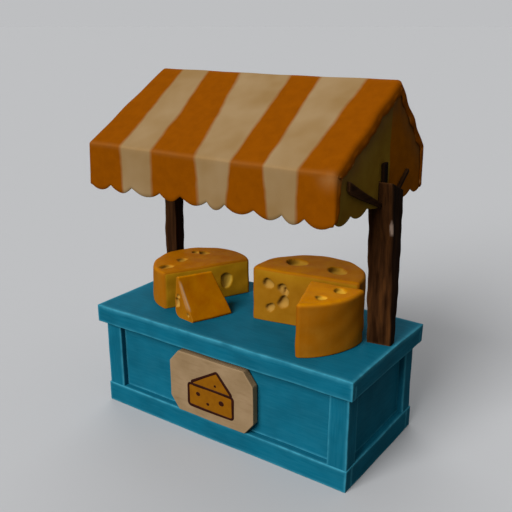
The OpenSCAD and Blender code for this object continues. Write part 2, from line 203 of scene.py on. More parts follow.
def closeRows(rows, poles):
    # quads between the rows, and a fan from each pole
    count, columns = rows.shape[:2]
    points = np.concatenate([rows.reshape(-1, 3), poles])
    c = np.arange(columns)
    n = (c + 1) % columns
    first, last = count * columns, count * columns + 1
    lowFan = np.stack([np.full(columns, first), n, c], 1)
    highFan = np.stack([np.full(columns, last), (count - 1) * columns + c, (count - 1) * columns + n], 1)
    return points, ringQuads(count, columns), np.concatenate([lowFan, highFan])


def rimOf(points, flat, low, high, width):
    # how near each point of a prism is to an edge, from 1 on it to 0 away from it: the second smallest of its
    # distances to all faces, through a bell curve. The caller sets an end that joins another piece far away
    sides = np.roll(flat, -1, 0) - flat
    out = np.stack([sides[:, 1], -sides[:, 0]], 1) / np.linalg.norm(sides, axis=1)[:, None]
    toSides = ((flat[None] - points[:, None, :2]) * out[None]).sum(2)
    toEnds = np.stack([points[:, 2] - low, high - points[:, 2]], 1)
    second = np.partition(np.concatenate([toSides, toEnds], 1), 1, axis=1)[:, 1]
    return np.exp(-(np.maximum(second, 0) / width) ** 2)


pieceCount = 0


def grainOf(points, grainAxis):
    # the place on the piece with the grain as its first coordinate, shifted so that no two pieces match
    global pieceCount
    pieceCount += 1
    order = [grainAxis] + [k for k in range(3) if k != grainAxis]
    return points[:, order] + pieceCount * np.array([1.37, 2.11, 0.73])


def timber(node, axis, grainAxis, material, radius=6 * mm, beads=None, radiiAt=None,
           coarse=60 * mm, rimWidth=9 * mm, joined=(0, 0), dark=0.0):
    # a hewn or planed member: the node's own outline, its edges rounded, carried along one of the axes
    along = np.eye(3)[axis]
    frameOf = basis(along)
    local = nodePoints(node) @ frameOf
    flat = hullOf(local[:, :2])
    low, high = local[:, 2].min(), local[:, 2].max()
    radii = np.full(len(flat), radius) if radiiAt is None else radiiAt(flat)
    beads = (radius, radius) if beads is None else beads
    outline = outlineOf(flat, radii, coarse)
    rows, _, poles = beadedPrism(outline, low, high, beads, coarse)
    points, quads, triangles = closeRows(rows, poles)
    rim = rimOf(points, flat, low - joined[0], high + joined[1], rimWidth)
    world = points @ frameOf.T
    attributes = {"grain": grainOf(world, grainAxis), "rim": rim}
    if dark:
        attributes["dark"] = np.full(len(world), dark)
    piece = makeMesh(node + "_finish", drift(world), quads, triangles, attributes)
    finishPiece(piece, material, [node])


def linear(code):
    # an sRGB hex colour as linear light
    srgb = np.array([int(code[k:k + 2], 16) for k in (1, 3, 5)]) / 255
    light = np.where(srgb <= 0.04045, srgb / 12.92, ((srgb + 0.055) / 1.055) ** 2.4)
    return (*(float(v) for v in light), 1.0)


def add(tree, kind, inputs, out=0, **settings):
    # one node with its settings: an input is linked where it is given a socket, and set where it is given a
    # value. Gives the output that is asked for
    node = tree.nodes.new("ShaderNode" + kind)
    for key, value in settings.items():
        setattr(node, key, value)
    for key, value in inputs.items():
        if isinstance(value, bpy.types.NodeSocket):
            tree.links.new(value, node.inputs[key])
        else:
            node.inputs[key].default_value = value
    return node.outputs[out] if len(node.outputs) else None


def startMaterial(name, *keys):
    # a new material with its node tree, and a socket for each named attribute of the mesh
    material = bpy.data.materials.new(name)
    material.use_nodes = True
    tree = material.node_tree
    tree.nodes.clear()
    sockets = []
    for key in keys:
        sockets.append(add(tree, "Attribute", {}, "Vector" if key == "grain" else "Fac", attribute_name=key))
    return material, tree, *sockets


def coats(tree, colour, *layers):
    # colours laid over one another. A layer is its share and its colour. A share is a socket, or a socket
    # with the values at which the layer begins and is full and, where they aren't 0 and 1, the shares there
    for share, over in layers:
        if isinstance(share, tuple):
            share = add(tree, "MapRange", dict(enumerate(share)))
        colour, over = (linear(c) if isinstance(c, str) else c for c in (colour, over))
        colour = add(tree, "Mix", {0: share, 6: colour, 7: over}, 2, data_type="RGBA")
    return colour


def patchy(tree, mask, *noise):
    # a mask thinned unevenly by a noise, which is given with its range and the shares there
    share = add(tree, "MapRange", dict(enumerate(noise)))
    return add(tree, "Math", {0: mask, 1: share}, operation="MULTIPLY")


def alongGrain(tree, grain, fine, stretch, detail, roughness):
    # streaks of one fineness, drawn out along the grain
    place = add(tree, "Mapping", {"Vector": grain, "Scale": stretch})
    inputs = {"Vector": place, "Scale": 1 / fine, "Detail": detail, "Roughness": roughness}
    return add(tree, "TexNoise", inputs)


def finishMaterial(material, colour, gloss, roughness, ior, relief=None):
    # the surface itself. Its relief is a height, how strongly that shows and how deep it is
    tree = material.node_tree
    inputs = {"Base Color": colour, "Specular IOR Level": gloss, "Roughness": roughness, "IOR": ior}
    if relief:
        inputs["Normal"] = add(tree, "Bump", dict(zip(("Height", "Strength", "Distance"), relief)))
    add(tree, "OutputMaterial", {"Surface": add(tree, "BsdfPrincipled", inputs)})
    return material


def brushedPaint():
    # oil paint brushed on planed pine: satin, with faint strokes along each board, patches where the coat is
    # thicker, and paler edges, partly where hands and rubbing have thinned it and partly a painted highlight
    look = {"coat": "#09627a", "thick": "#07576d", "wornAndHighlit": "#3b8ea4", "bristle": 4 * mm, "stroke": 160 * mm,
            "gloss": 0.05}
    material, tree, grain, rim = startMaterial("oilPaintOnPine", "grain", "rim")
    strokes = alongGrain(tree, grain, look["bristle"], (look["bristle"] / look["stroke"], 0.3, 0.3), 2, 0.6)
    patches = add(tree, "TexNoise", {"Vector": grain, "Scale": 5.0, "Detail": 3})
    uneven = add(tree, "TexNoise", {"Vector": grain, "Scale": 14.0, "Detail": 2})
    colour = coats(tree, look["coat"], ((patches, 0.35, 0.7), look["thick"]),
                   ((strokes, 0.35, 0.75, 0.0, 0.14), look["wornAndHighlit"]),
                   # the paler edges: worn paint and a painted highlight
                   (patchy(tree, rim, uneven, 0.3, 0.6, 0.45, 1.0), look["wornAndHighlit"]))
    return finishMaterial(material, colour, look["gloss"], 0.6, 1.48, (strokes, 0.5, 0.6 * mm))


def stainedOak():
    # hewn oak with a dark stain: long streaks of earlywood and latewood, dull, paler at the edges where it is
    # worn and painted with a highlight, darkened nearly black on some faces (painted shade on the posts'
    # right faces, a plain darkening on the left post, braces and stubs), and bare and pale where a chip is
    # off
    look = {"stain": "#38200e", "late": "#221004", "early": "#5a3618", "wornAndHighlit": "#6b4526", "darkened": "#100a06",
            "chip": "#a58d7c", "ring": 12 * mm, "streak": 500 * mm, "gloss": 0.03}
    material, tree, grain, rim, dark, chip = startMaterial("stainedHewnOak", "grain", "rim", "dark", "chip")
    streaks = alongGrain(tree, grain, look["ring"], (look["ring"] / look["streak"], 0.35, 0.35), 4, 0.55)
    patches = add(tree, "TexNoise", {"Vector": grain, "Scale": 4.0, "Detail": 2})
    colour = coats(tree, look["late"], ((streaks, 0.36, 0.5), look["stain"]),
                   ((streaks, 0.5, 0.75), look["early"]), ((patches, 0.45, 0.75, 0.0, 0.5), look["stain"]),
                   # paler edges: worn wood and a painted highlight
                   (patchy(tree, rim, patches, 0.3, 0.7, 0.1, 0.6), look["wornAndHighlit"]),
                   # darkened: painted shade on the posts' right faces, a plain darkening elsewhere
                   (dark, look["darkened"]), (chip, look["chip"]))
    return finishMaterial(material, colour, look["gloss"], 0.7, 1.5, (streaks, 0.7, 2 * mm))


def limedOak():
    # a planed oak board, limed: pale tan with thin darker pores along the grain, and paler on its bevel, worn
    # there and painted with a highlight
    look = {"board": "#8c7353", "pore": "#7b6142", "pale": "#9c8262", "poreApart": 6.25 * mm, "gloss": 0.05}
    material, tree, grain, rim = startMaterial("limedOakBoard", "grain", "rim")
    pores = alongGrain(tree, grain, look["poreApart"], (0.06, 0.4, 0.4), 3, 0.6)
    patches = add(tree, "TexNoise", {"Vector": grain, "Scale": 6.0, "Detail": 3})
    colour = coats(tree, look["board"], ((patches, 0.35, 0.7), look["pale"]),
                   # the paler bevel: wear and a painted highlight
                   ((pores, 0.5, 0.8, 0.0, 0.5), look["pore"]), ((rim, 0.2, 1.0, 0.0, 0.6), look["pale"]))
    return finishMaterial(material, colour, look["gloss"], 0.6, 1.5, (pores, 0.4, 0.8 * mm))


def stripedCanvas():
    # heavy cotton awning canvas, plain woven and dyed in stripes: matt, mottled by sun and damp, with a
    # painted highlight along its folds and at its front corner, and a few pale chips along its side hems. The
    # weave is drawn 5 mm apart, about five times too coarse, so that it shows
    look = {"orange": "#864600", "orangeDeep": "#7e4100", "cream": "#967c58", "creamDeep": "#8b6e46",
            "highlightAndChips": "#b88d58", "weave": 5 * mm, "edge": 0.15, "gloss": 0.02}
    material, tree, fold, stripe = startMaterial("stripedAwningCanvas", "fold", "stripe")
    solid = add(tree, "TexCoord", {}, "Object")
    mottled = add(tree, "TexNoise", {"Vector": solid, "Scale": 16.0, "Detail": 4, "Roughness": 0.6})
    clouds = add(tree, "TexNoise", {"Vector": solid, "Scale": 4.0, "Detail": 2})
    uneven = add(tree, "TexNoise", {"Vector": solid, "Scale": 7.0, "Detail": 2})
    # the stripe coordinate is a whole number at each stripe's end, where its sine in half turns changes sign
    wobble = add(tree, "MapRange", {0: uneven, 1: 0.0, 2: 1.0, 3: -0.05, 4: 0.05})
    moved = add(tree, "Math", {0: stripe, 1: wobble}, operation="ADD")
    turned = add(tree, "Math", {0: moved, 1: math.pi}, operation="MULTIPLY")
    wave = add(tree, "Math", {0: turned}, operation="SINE")
    orange = coats(tree, look["orange"], ((mottled, 0.35, 0.7), look["orangeDeep"]))
    colour = coats(tree, look["cream"], ((clouds, 0.35, 0.7), look["creamDeep"]),
                   ((wave, -look["edge"], look["edge"]), orange),
                   # a painted highlight along the folds and at the front corner, and pale chips
                   (patchy(tree, fold, mottled, 0.2, 0.8, 0.25, 0.7), look["highlightAndChips"]))
    # two crossed sets of threads; the wave's bands are pi / 10 apart at scale 1
    flatPlace = add(tree, "UVMap", {}, uv_map="cloth")
    threads = []
    for turn in (0.0, math.pi / 2):
        place = add(tree, "Mapping", {"Vector": flatPlace, "Rotation": (0, 0, turn)})
        inputs = {"Vector": place, "Scale": math.pi / 10 / look["weave"]}
        threads.append(add(tree, "TexWave", inputs, "Fac", wave_type="BANDS"))
    weave = add(tree, "Math", dict(enumerate(threads)), operation="MULTIPLY")
    return finishMaterial(material, colour, look["gloss"], 0.9, 1.45, (weave, 0.25, 0.8 * mm))


def gableCanvas():
    # the same canvas on the gables: an olive-cream width in front, its cream darkened to olive as painted
    # shade, and an orange one behind, sewn edge to edge, with a brown painted shade under the hems
    # the cream colours are the roof's cream darkened to olive, as painted shade
    look = {"cream": "#86691f", "creamDeep": "#775616", "orange": "#8e5000", "orangeDeep": "#824800",
            "stain": "#6b4c2c", "seam": 78 * mm, "seamWidth": 12 * mm, "seamWander": 15 * mm, "gloss": 0.02}
    material, tree, split, shade = startMaterial("gableAwningCanvas", "split", "shade")
    solid = add(tree, "TexCoord", {}, "Object")
    mottled = add(tree, "TexNoise", {"Vector": solid, "Scale": 16.0, "Detail": 4, "Roughness": 0.6})
    clouds = add(tree, "TexNoise", {"Vector": solid, "Scale": 5.0, "Detail": 3})
    wobble = add(tree, "MapRange", {0: clouds, 1: 0.0, 2: 1.0, 3: -look["seamWander"], 4: look["seamWander"]})
    place = add(tree, "Math", {0: split, 1: wobble}, operation="ADD")
    half = look["seamWidth"] / 2
    orange = coats(tree, look["orange"], ((mottled, 0.35, 0.7), look["orangeDeep"]))
    colour = coats(tree, look["cream"], ((clouds, 0.35, 0.65), look["creamDeep"]),
                   ((place, look["seam"] - half, look["seam"] + half), orange),
                   # the stain layer is a brown painted shade under the hems
                   (patchy(tree, shade, mottled, 0.3, 0.7, 0.6, 1.0), look["stain"]))
    return finishMaterial(material, colour, look["gloss"], 0.9, 1.45)


def hardCheese():
    # Alpine hard cheese: a waxy brushed rind, amber and slightly blotched, and a paler smooth paste where
    # it is cut and inside the eyes. Painted light: where light falls most, on its tops and cut sides, its
    # colour is multiplied by a brighter factor; its edges are paler, worn and with a painted highlight; a
    # dark painted shade lies on one side of each eye's wall, and a painted highlight streaks the wedge's near
    # cut
    look = {"rind": "#975500", "rindDeep": "#8e4900", "paste": "#9a6714", "pasteDeep": "#905d0c",
            "wornAndHighlit": "#a8721c", "eye": "#ab8038", "eyeShade": "#543304", "streakHighlight": "#c8a27a",
            "litBrighter": (2.0, 2.5, 1.6), "gloss": 0.02}
    keys = ("rim", "cut", "eye", "paintedLight", "eyeShade", "streakHighlight")
    material, tree, rim, cut, eye, paintedLight, eyeShade, streakHighlight = startMaterial("hardCheese", *keys)
    solid = add(tree, "TexCoord", {}, "Object")
    blotches = add(tree, "TexNoise", {"Vector": solid, "Scale": 11.0, "Detail": 4, "Roughness": 0.6})
    fine = add(tree, "TexNoise", {"Vector": solid, "Scale": 70.0, "Detail": 3, "Roughness": 0.6})
    blotched = (blotches, 0.35, 0.7)
    paste = coats(tree, look["paste"], (blotched, look["pasteDeep"]))
    plain = coats(tree, look["rind"], (blotched, look["rindDeep"]), (cut, paste), (eye, look["eye"]))
    # painted light: the colour made brighter where light falls most, on tops and cut sides
    bright = add(tree, "VectorMath", {0: plain, 1: look["litBrighter"]}, operation="MULTIPLY")
    colour = coats(tree, plain, (paintedLight, bright), (eyeShade, look["eyeShade"]),
                   # paler edges: worn rind and a painted highlight
                   (patchy(tree, rim, blotches, 0.3, 0.7, 0.15, 0.6), look["wornAndHighlit"]), (streakHighlight, look["streakHighlight"]))
    return finishMaterial(material, colour, look["gloss"], 0.55, 1.46, (fine, 0.3, 1.2 * mm))


def signEnamel(name, code, deep):
    # signwriter's enamel, laid on by brush: smooth, with a slightly uneven coat
    material, tree = startMaterial(name)
    coat = add(tree, "TexNoise", {"Vector": add(tree, "TexCoord", {}, "Object"), "Scale": 30.0, "Detail": 3})
    return finishMaterial(material, coats(tree, code, ((coat, 0.35, 0.7), deep)), 0.1, 0.5, 1.5)


paint = brushedPaint()
oak = stainedOak()
boardOak = limedOak()
roofCanvas = stripedCanvas()
sideCanvas = gableCanvas()
cheese = hardCheese()
print("materials made")


counter = {"topEdge": 9 * mm, "corner": 6 * mm, "jointEdge": 0.4 * mm, "fasciaEdge": 7 * mm,
           "postEdge": 8 * mm, "plinthEdge": 12 * mm, "rim": 11 * mm, "topRim": 17 * mm}


def outerCorners(node):
    # rounds the corners that lie on the node's own outer plan corner, and leaves the mitred ones sharp
    low, high = nodeBox(node)
    side = np.maximum(np.abs(low), np.abs(high))[:2]

    def radii(flat):
        away = np.abs(np.abs(flat) - side).max(1)
        return np.where(away < 1 * mm, counter["corner"], counter["jointEdge"])
    return radii


far = 1.0  # an edge this far off gets no paler edge, neither wear nor painted highlight
timber("worktop", 2, 0, paint, counter["corner"],
       beads=(counter["jointEdge"], counter["topEdge"]), rimWidth=counter["topRim"], joined=(far, 0))
for side, grainAxis in (("front", 0), ("back", 0), ("left", 1), ("right", 1)):
    timber("fascia_" + side, 2, grainAxis, paint,
           beads=(counter["fasciaEdge"], counter["jointEdge"]), radiiAt=outerCorners("fascia_" + side),
           rimWidth=counter["rim"], joined=(0, far))
    timber("plinth_" + side, 2, grainAxis, paint,
           beads=(5 * mm, counter["plinthEdge"]), radiiAt=outerCorners("plinth_" + side),
           rimWidth=counter["rim"])
    timber("panel_" + side, 2, grainAxis, paint, 2 * mm, rimWidth=counter["rim"])
for way in ("front", "back"):
    for side in ("left", "right"):
        timber(f"corner_post_{way}_{side}", 2, 2, paint, counter["postEdge"],
               (counter["jointEdge"], counter["jointEdge"]), rimWidth=counter["rim"], joined=(far, far))
print("counter made")


timber("sign_board", 1, 0, boardOak, 16 * mm, (4 * mm, 15 * mm), rimWidth=12 * mm)

# the picture: a plain wedge of cheese, seen from its cut side, in metres from the board's middle
picture = {"wide": 0.36, "tall": 0.16, "rise": 0.14, "apex": 0.05, "foot": -0.15, "line": 20 * mm,
           "relief": 2 * mm, "sideRound": 20 * mm, "topRound": 12 * mm,
           "amber": ("#8a5605", "#814e04"), "ink": ("#33130a", "#280e06"),
           # each hole's place and radius
           "holes": ((-0.10, -0.05, 0.017), (-0.02, -0.10, 0.012), (0.09, -0.06, 0.021), (0.04, 0.05, 0.010))}
boardLow, boardHigh = nodeBox("sign_board")
boardMiddle = (boardLow + boardHigh) / 2


def softRing(corners, radius):
    # a convex outline through the given corners, each rounded to the radius
    core, radii, out = outlineOf(np.array(corners), np.full(len(corners), radius), 8 * mm, 6)
    return core + radii[:, None] * out


def onBoard(flat, forward):
    # points of the board's plane brought forward of its face
    depth = boardLow[1] - forward + np.zeros(len(flat))
    return np.column_stack([boardMiddle[0] + flat[:, 0], depth, boardMiddle[2] + flat[:, 1]])


def inkStroke(name, path, relief, material):
    # a raised brush stroke: a flattened tube along a closed curve, its width swelling and thinning twice
    count = len(path)
    ahead = np.roll(path, -1, 0) - np.roll(path, 1, 0)
    normal = np.stack([-ahead[:, 1], ahead[:, 0]], 1) / np.linalg.norm(ahead, axis=1)[:, None]
    thick = picture["line"] / 2 * (1 + 0.12 * np.sin(4 * math.pi * np.arange(count) / count + 1))
    sides = 10
    lines = []
    for q in np.arange(sides) * 2 * math.pi / sides:
        line = path + normal * (thick * math.cos(q))[:, None]
        lines.append(onBoard(line, relief * (1.2 * math.sin(q) + 0.2)))
    rows = np.stack(lines, 1)
    quads = ringQuads(count + 1, sides) % (count * sides)  # the last row joins the first
    finishPiece(makeMesh(name, drift(rows.reshape(-1, 3)), quads), material)


def enamelPatch(name, path, raised, material):
    # a filled patch: its outline shrunk in rings to the middle, slightly proud of the board
    middle = path.mean(0)
    rows = [onBoard(path, -1 * mm), onBoard(path, raised * 0.7)]
    rows += [onBoard(middle + s * (path - middle), raised) for s in (0.96, 0.7, 0.45, 0.2)]
    poles = onBoard(np.array([middle, middle]), np.array([-1 * mm, raised]))
    points, quads, triangles = closeRows(np.array(rows), poles)
    finishPiece(makeMesh(name, drift(points), quads, triangles), material)


def signPicture():
    # the cut side is a block with soft corners, and the top a triangle that runs back to the wedge's point
    amber = signEnamel("amberEnamel", *picture["amber"])
    ink = signEnamel("brownEnamel", *picture["ink"])
    half, foot, shoulder = picture["wide"] / 2, picture["foot"], picture["foot"] + picture["tall"]
    side = softRing([(-half, foot), (half, foot), (half, shoulder), (-half, shoulder)], picture["sideRound"])
    point = (picture["apex"], shoulder + picture["rise"])
    top = softRing([(-half, shoulder), (half, shoulder), point], picture["topRound"])
    enamelPatch("picture_side", side, 1.0 * mm, amber)
    enamelPatch("picture_top", top, 1.2 * mm, amber)
    inkStroke("picture_side_line", side, picture["relief"], ink)
    inkStroke("picture_top_line", top, 1.25 * picture["relief"], ink)
    turn = np.arange(24) * 2 * math.pi / 24
    for index, (x, z, r) in enumerate(picture["holes"]):
        hole = np.stack([x + r * np.cos(turn), z + 0.85 * r * np.sin(turn)], 1)
        enamelPatch(f"picture_hole_{index}", hole, 2.0 * mm, ink)


signPicture()
print("sign made")


# the facets' heights are in metres; the chip's place is its height and its share of the front face's width
postLook = {"edge": 6 * mm, "hewn": 2 * mm, "facet": 0.31, "fineFacet": 0.13, "sawnLength": 0.3,
            # how dark the painted shade on the right faces is, and how much darker the left post is
            "step": 4 * mm, "rightFaceShade": 0.65, "leftDark": 0.3,
            "chip": {"z": 1.51, "tall": 45 * mm, "across": 0.95, "wide": 0.1},
            # how far each post's left and right faces stand out at the foot and the head, in mm
            "spread": {"left": ((-5, 5), (-5, 5)), "right": ((8, 3), (-10, 6))},
            # how far the right foot's corners stand off square, in mm
            "settled": ((3, 14), (-2, 36), (-6, 4), (2, 0))}


def hewnPost(node):
    # a square post that swells from foot to head: the foot's outline carried up and stretched to the head's,
    # with the part of its top outside the canvas sawn down to the rear, and shallow adze facets
    points = nodePoints(node)
    low, high = points.min(0), points.max(0)
    foot = points[points[:, 2] < low[2] + mm]
    head = points[points[:, 2] > high[2] - mm]
    side = 1 if foot[:, 0].mean() > 0 else -1
    belowTop = high[2] - points[:, 2]
    sawn = points[(belowTop < postLook["sawnLength"]) & (belowTop > mm)]
    sawnFrom, sawnZ = np.abs(sawn[:, 0]).min(), sawn[:, 2].min()
    slope = (high[2] - sawnZ) / np.ptp(head[:, 1])
    footBox, headBox = (np.array([end[:, :2].min(0), end[:, :2].max(0)]) for end in (foot, head))
    flat = np.array([[footBox[i, 0], footBox[j, 1]] for i, j in ((0, 0), (1, 0), (1, 1), (0, 1))])
    outline = outlineOf(flat, np.full(4, postLook["edge"]), 18 * mm)
    rows, _, poles = beadedPrism(outline, low[2], high[2], (1 * mm, 4 * mm), 22 * mm, (3, 7, 12, 20), 6)
    world, quads, triangles = closeRows(rows, poles)
    rim = rimOf(world, flat, low[2], high[2], 8 * mm)
    t = ((world[:, 2] - low[2]) / (high[2] - low[2]))[:, None]
    share = (world[:, :2] - footBox[0]) / (footBox[1] - footBox[0])
    atFoot, atHead = postLook["spread"]["right" if side > 0 else "left"]
    footBox[:, 0] += np.array(atFoot) * mm
    headBox[:, 0] += np.array(atHead) * mm
    inFoot = footBox[0] + share * (footBox[1] - footBox[0])
    if side > 0:
        a, b = share[:, :1], share[:, 1:]
        weights = ((1 - a) * (1 - b), a * (1 - b), a * b, (1 - a) * b)
        inFoot = inFoot + sum(w * np.array(shift) * mm for w, shift in zip(weights, postLook["settled"]))
    # painted shade: the faces on the right are darkened nearly black; the left post is darker all over
    rightFace = np.clip((share[:, 0] - 0.93) / 0.05, 0, 1)
    dark = np.maximum(postLook["rightFaceShade"] * rightFace, 0.0 if side > 0 else postLook["leftDark"])
    # a pale chip off the right post's front edge, under the canvas
    at = postLook["chip"]
    off = ((world[:, 2] - at["z"]) / at["tall"]) ** 2 + ((share[:, 0] - at["across"]) / at["wide"]) ** 2
    chip = np.clip((np.exp(-off) * (share[:, 1] < 0.08) - 0.4) / 0.25, 0, 0.8) * (side > 0)
    world[:, :2] = inFoot * (1 - t) + (headBox[0] + share * (headBox[1] - headBox[0])) * t
    centre = (footBox.mean(0) * (1 - t) + headBox.mean(0) * t)
    away = world[:, :2] - centre
    turn = np.arctan2(away[:, 1], away[:, 0])
    play = np.clip(np.minimum(world[:, 2] - low[2], high[2] - world[:, 2]) / 0.1, 0, 1)
    turns = 2 * math.pi * world[:, 2]
    adze = np.sin(turns / postLook["facet"] + 2 * turn + side)
    adze += 0.6 * np.sin(turns / postLook["fineFacet"] + 3 * turn)
    world[:, :2] -= away * (postLook["hewn"] * adze * play / np.linalg.norm(away, axis=1).clip(0.02))[:, None]
    outside = np.clip((np.abs(world[:, 0]) - sawnFrom + postLook["step"]) / postLook["step"], 0, 1)
    near = np.clip((world[:, 2] - high[2] + postLook["sawnLength"]) / postLook["sawnLength"], 0, 1)
    world[:, 2] -= slope * (world[:, 1] - headBox[0][1]).clip(0) * outside * near
    attributes = {"grain": grainOf(world, 2), "rim": rim, "dark": dark, "chip": chip}
    piece = makeMesh(node + "_finish", drift(world), quads, triangles, attributes)
    finishPiece(piece, oak, [node])


for side in ("left", "right"):
    hewnPost("post_" + side)
    timber("tie_beam_" + side, 1, 1, oak, 7 * mm)
    for way in ("front", "rear"):
        timber(f"rafter_{way}_{side}", 0, 1, oak, 6 * mm)
        timber(f"brace_{way}_{side}", 0, 1, oak, 4 * mm, coarse=30 * mm, dark=0.5)
    timber("post_stub_" + side, 0, 2, oak, 4 * mm, coarse=30 * mm, dark=0.85)
for node, radius in (("ridge_beam", 6 * mm), ("eave_rail_front", 7 * mm), ("eave_rail_rear", 7 * mm)):
    timber(node, 0, 0, oak, radius)
print("posts and roof frame made")


cloth = {"thick": 6 * mm, "hem": 9 * mm, "hemTall": 26 * mm, "eaveFold": 20 * mm, "ridgeFold": 26 * mm,
         "ridgeLift": 8 * mm, "sideFold": 32 * mm, "flap": 66 * mm, "flapWave": 5 * mm, "roll": 5 * mm,
         "foldTighter": 0.6, "flapNarrower": 0.35,  # by what share they are at the valances' lower edge
         "sag": 5 * mm, "slackFrom": 90 * mm, "ripple": 2.2 * mm, "flare": 9 * mm, "flareFrom": 0.45,
         "bulge": 5 * mm, "bulgeFrom": 0.6, "across": 8 * mm,
         # how strong the painted highlight is and how wide along the rear eave, ridge and front eave, and for
         # the front corner how strong, how wide and how tall
         "highlightAndChips": ((0.2, 14 * mm), (0.15, 18 * mm), (0.2, 14 * mm)), "corner": (0.55, 60 * mm, 40 * mm),
         "lap": 4.5 * mm,  # how far outside the gables the flaps hang, over the gable cloths
         "gableThick": 4 * mm, "gableInset": 3.5 * mm, "gableTuck": 16 * mm, "hemShadeTall": 140 * mm}
# where each stripe ends, from left to right in mm: at the ridge, the eaves and the valances' lower edge
stripeEnds = {"ridge": (-700, -480, -220, 160, 370, 680), "eave": (-600, -360, -20, 230, 450, 660),
              "hem": (-600, -370, 0, 190, 480, 660)}


valance = nodePoints("valance_front")
notchZ = valance[np.abs(valance[:, 0] - valance[:, 0].min()) < mm][:, 2].min()


def scallopDrop(x, notches, deep):
    # how far the edge hangs below the notches: a parabola between each notch and the next
    k = np.clip(np.searchsorted(notches, x, side="right") - 1, 0, len(notches) - 2)
    t = (x - notches[k]) / (notches[k + 1] - notches[k])
    return deep * 4 * t * (1 - t)


def sheetShell(name, outer, normals, thickness, flatPlace, attributes):
    # a cloth as a closed shell: the outer grid, the same grid set back by the thickness, and a rounded rim
    # that joins their borders. Its place when laid flat becomes its UV map
    rows, columns = outer.shape[:2]
    total = rows * columns
    inner = outer - normals * thickness[..., None]
    index = np.arange(total).reshape(rows, columns)
    loop = np.concatenate([index[0, :-1], index[:-1, -1], index[-1, :0:-1], index[:0:-1, 0]])
    inward = np.concatenate([index[1, :-1], index[:-1, -2], index[-2, :0:-1], index[:0:-1, 1]])
    flatOuter, flatInner = outer.reshape(-1, 3), inner.reshape(-1, 3)
    away = flatOuter[loop] - flatOuter[inward]
    away /= np.linalg.norm(away, axis=1)[:, None].clip(1e-9)
    half = thickness.reshape(-1)[loop][:, None] / 2
    middle = (flatOuter[loop] + flatInner[loop]) / 2 + away * half * 0.8
    points = np.concatenate([flatOuter, flatInner, middle])
    corners = (index[:-1, :-1], index[:-1, 1:], index[1:, 1:], index[1:, :-1])
    front = np.stack([c.ravel() for c in corners], 1)
    k = np.arange(len(loop))
    n = (k + 1) % len(loop)
    rimA = np.stack([loop[n], loop[k], 2 * total + k, 2 * total + n], 1)
    rimB = np.stack([2 * total + n, 2 * total + k, loop[k] + total, loop[n] + total], 1)
    onPoints = lambda flat: np.concatenate([flat, flat, flat[loop]])
    quads = np.concatenate([front, front[:, ::-1] + total, rimA, rimB])
    attributes = {key: onPoints(values.reshape(total)) for key, values in attributes.items()}
    piece = makeMesh(name, drift(points), quads, None, attributes)
    atCorner = np.empty(len(piece.data.loops), np.int32)
    piece.data.loops.foreach_get("vertex_index", atCorner)
    place = onPoints(flatPlace.reshape(total, 2))[atCorner]
    piece.data.uv_layers.new(name="cloth").data.foreach_set("uv", place.astype(np.float32).ravel())
    return piece


def roofProfile(corners, radii):
    # the roof cloth seen from its end: straight runs between the corners, joined by arcs. Gives each
    # station's place, its distance along the cloth, its outward vector and a softened one, then the
    # distances of the three folds and of the end
    steps = np.diff(corners, axis=0)
    lengths = np.linalg.norm(steps, axis=1)
    along = steps / lengths[:, None]
    headings = np.unwrap(np.arctan2(along[:, 1], along[:, 0]))
    turns = np.diff(headings)
    setBack = np.concatenate([[0], radii * np.tan(np.abs(turns) / 2), [0]])
    parts, here, run = [], corners[0], 0.0
    for k, count in enumerate((12, 34, 44, 14)):
        straight = lengths[k] - setBack[k] - setBack[k + 1]
        t = np.linspace(0, straight, count)
        parts.append((*(here[:, None] + np.outer(along[k], t)), np.full(count, headings[k]), run + t))
        here = here + along[k] * straight
        run += straight
        if k < len(turns):
            a = np.linspace(0, 1, 9)
            angle = headings[k] + turns[k] * a
            bend = radii[k] * np.sign(turns[k])
            arc = here[:, None] + bend * np.array([np.sin(angle) - along[k, 1], along[k, 0] - np.cos(angle)])
            parts.append((*arc[:, 1:-1], angle[1:-1], (run + abs(turns[k]) * radii[k] * a)[1:-1]))
            here = arc[:, -1]
            run += abs(turns[k]) * radii[k]
    y, z, heading, path = (np.concatenate(part) for part in zip(*parts))
    foldAt = path[np.abs(heading[:, None] - (headings[:-1] + headings[1:]) / 2).argmin(0)]
    share = np.clip((path[:, None] - foldAt) / (150 * mm) + 0.5, 0, 1)
    softened = headings[0] + (share ** 2 * (3 - 2 * share)) @ turns
    sign = -np.sign(np.cos(heading[len(heading) // 2]))
    out, outSoft = (sign * np.stack([0 * h, np.sin(h), -np.cos(h)], 1) for h in (heading, softened))
    return y, z, path, out, outSoft, foldAt, run


def roofSection(halfOuter, halfLength):
    # across the stall: flap, fold, flat, fold, flap. Gives each column's place, its depth below the roof's
    # plane, its share of the flap's length and its tilt
    fold = cloth["sideFold"]
    inner = np.linspace(-(halfOuter - fold), halfOuter - fold, int(2 * halfLength / cloth["across"]))
    bend = np.linspace(0, math.pi / 2, 6)[1:]
    flap = np.linspace(0, 1, 7)[1:]
    square = np.ones(len(flap))
    right = np.stack([np.concatenate([halfOuter - fold + fold * np.sin(bend), halfOuter * square]),
                      np.concatenate([fold * (1 - np.cos(bend)), fold * square]),
                      np.concatenate([0 * bend, flap]),
                      np.concatenate([bend, math.pi / 2 * square])])
    left = right[:, ::-1] * [[-1], [1], [1], [-1]]
    return np.concatenate([left, [inner, 0 * inner, 0 * inner, 0 * inner], right], 1)


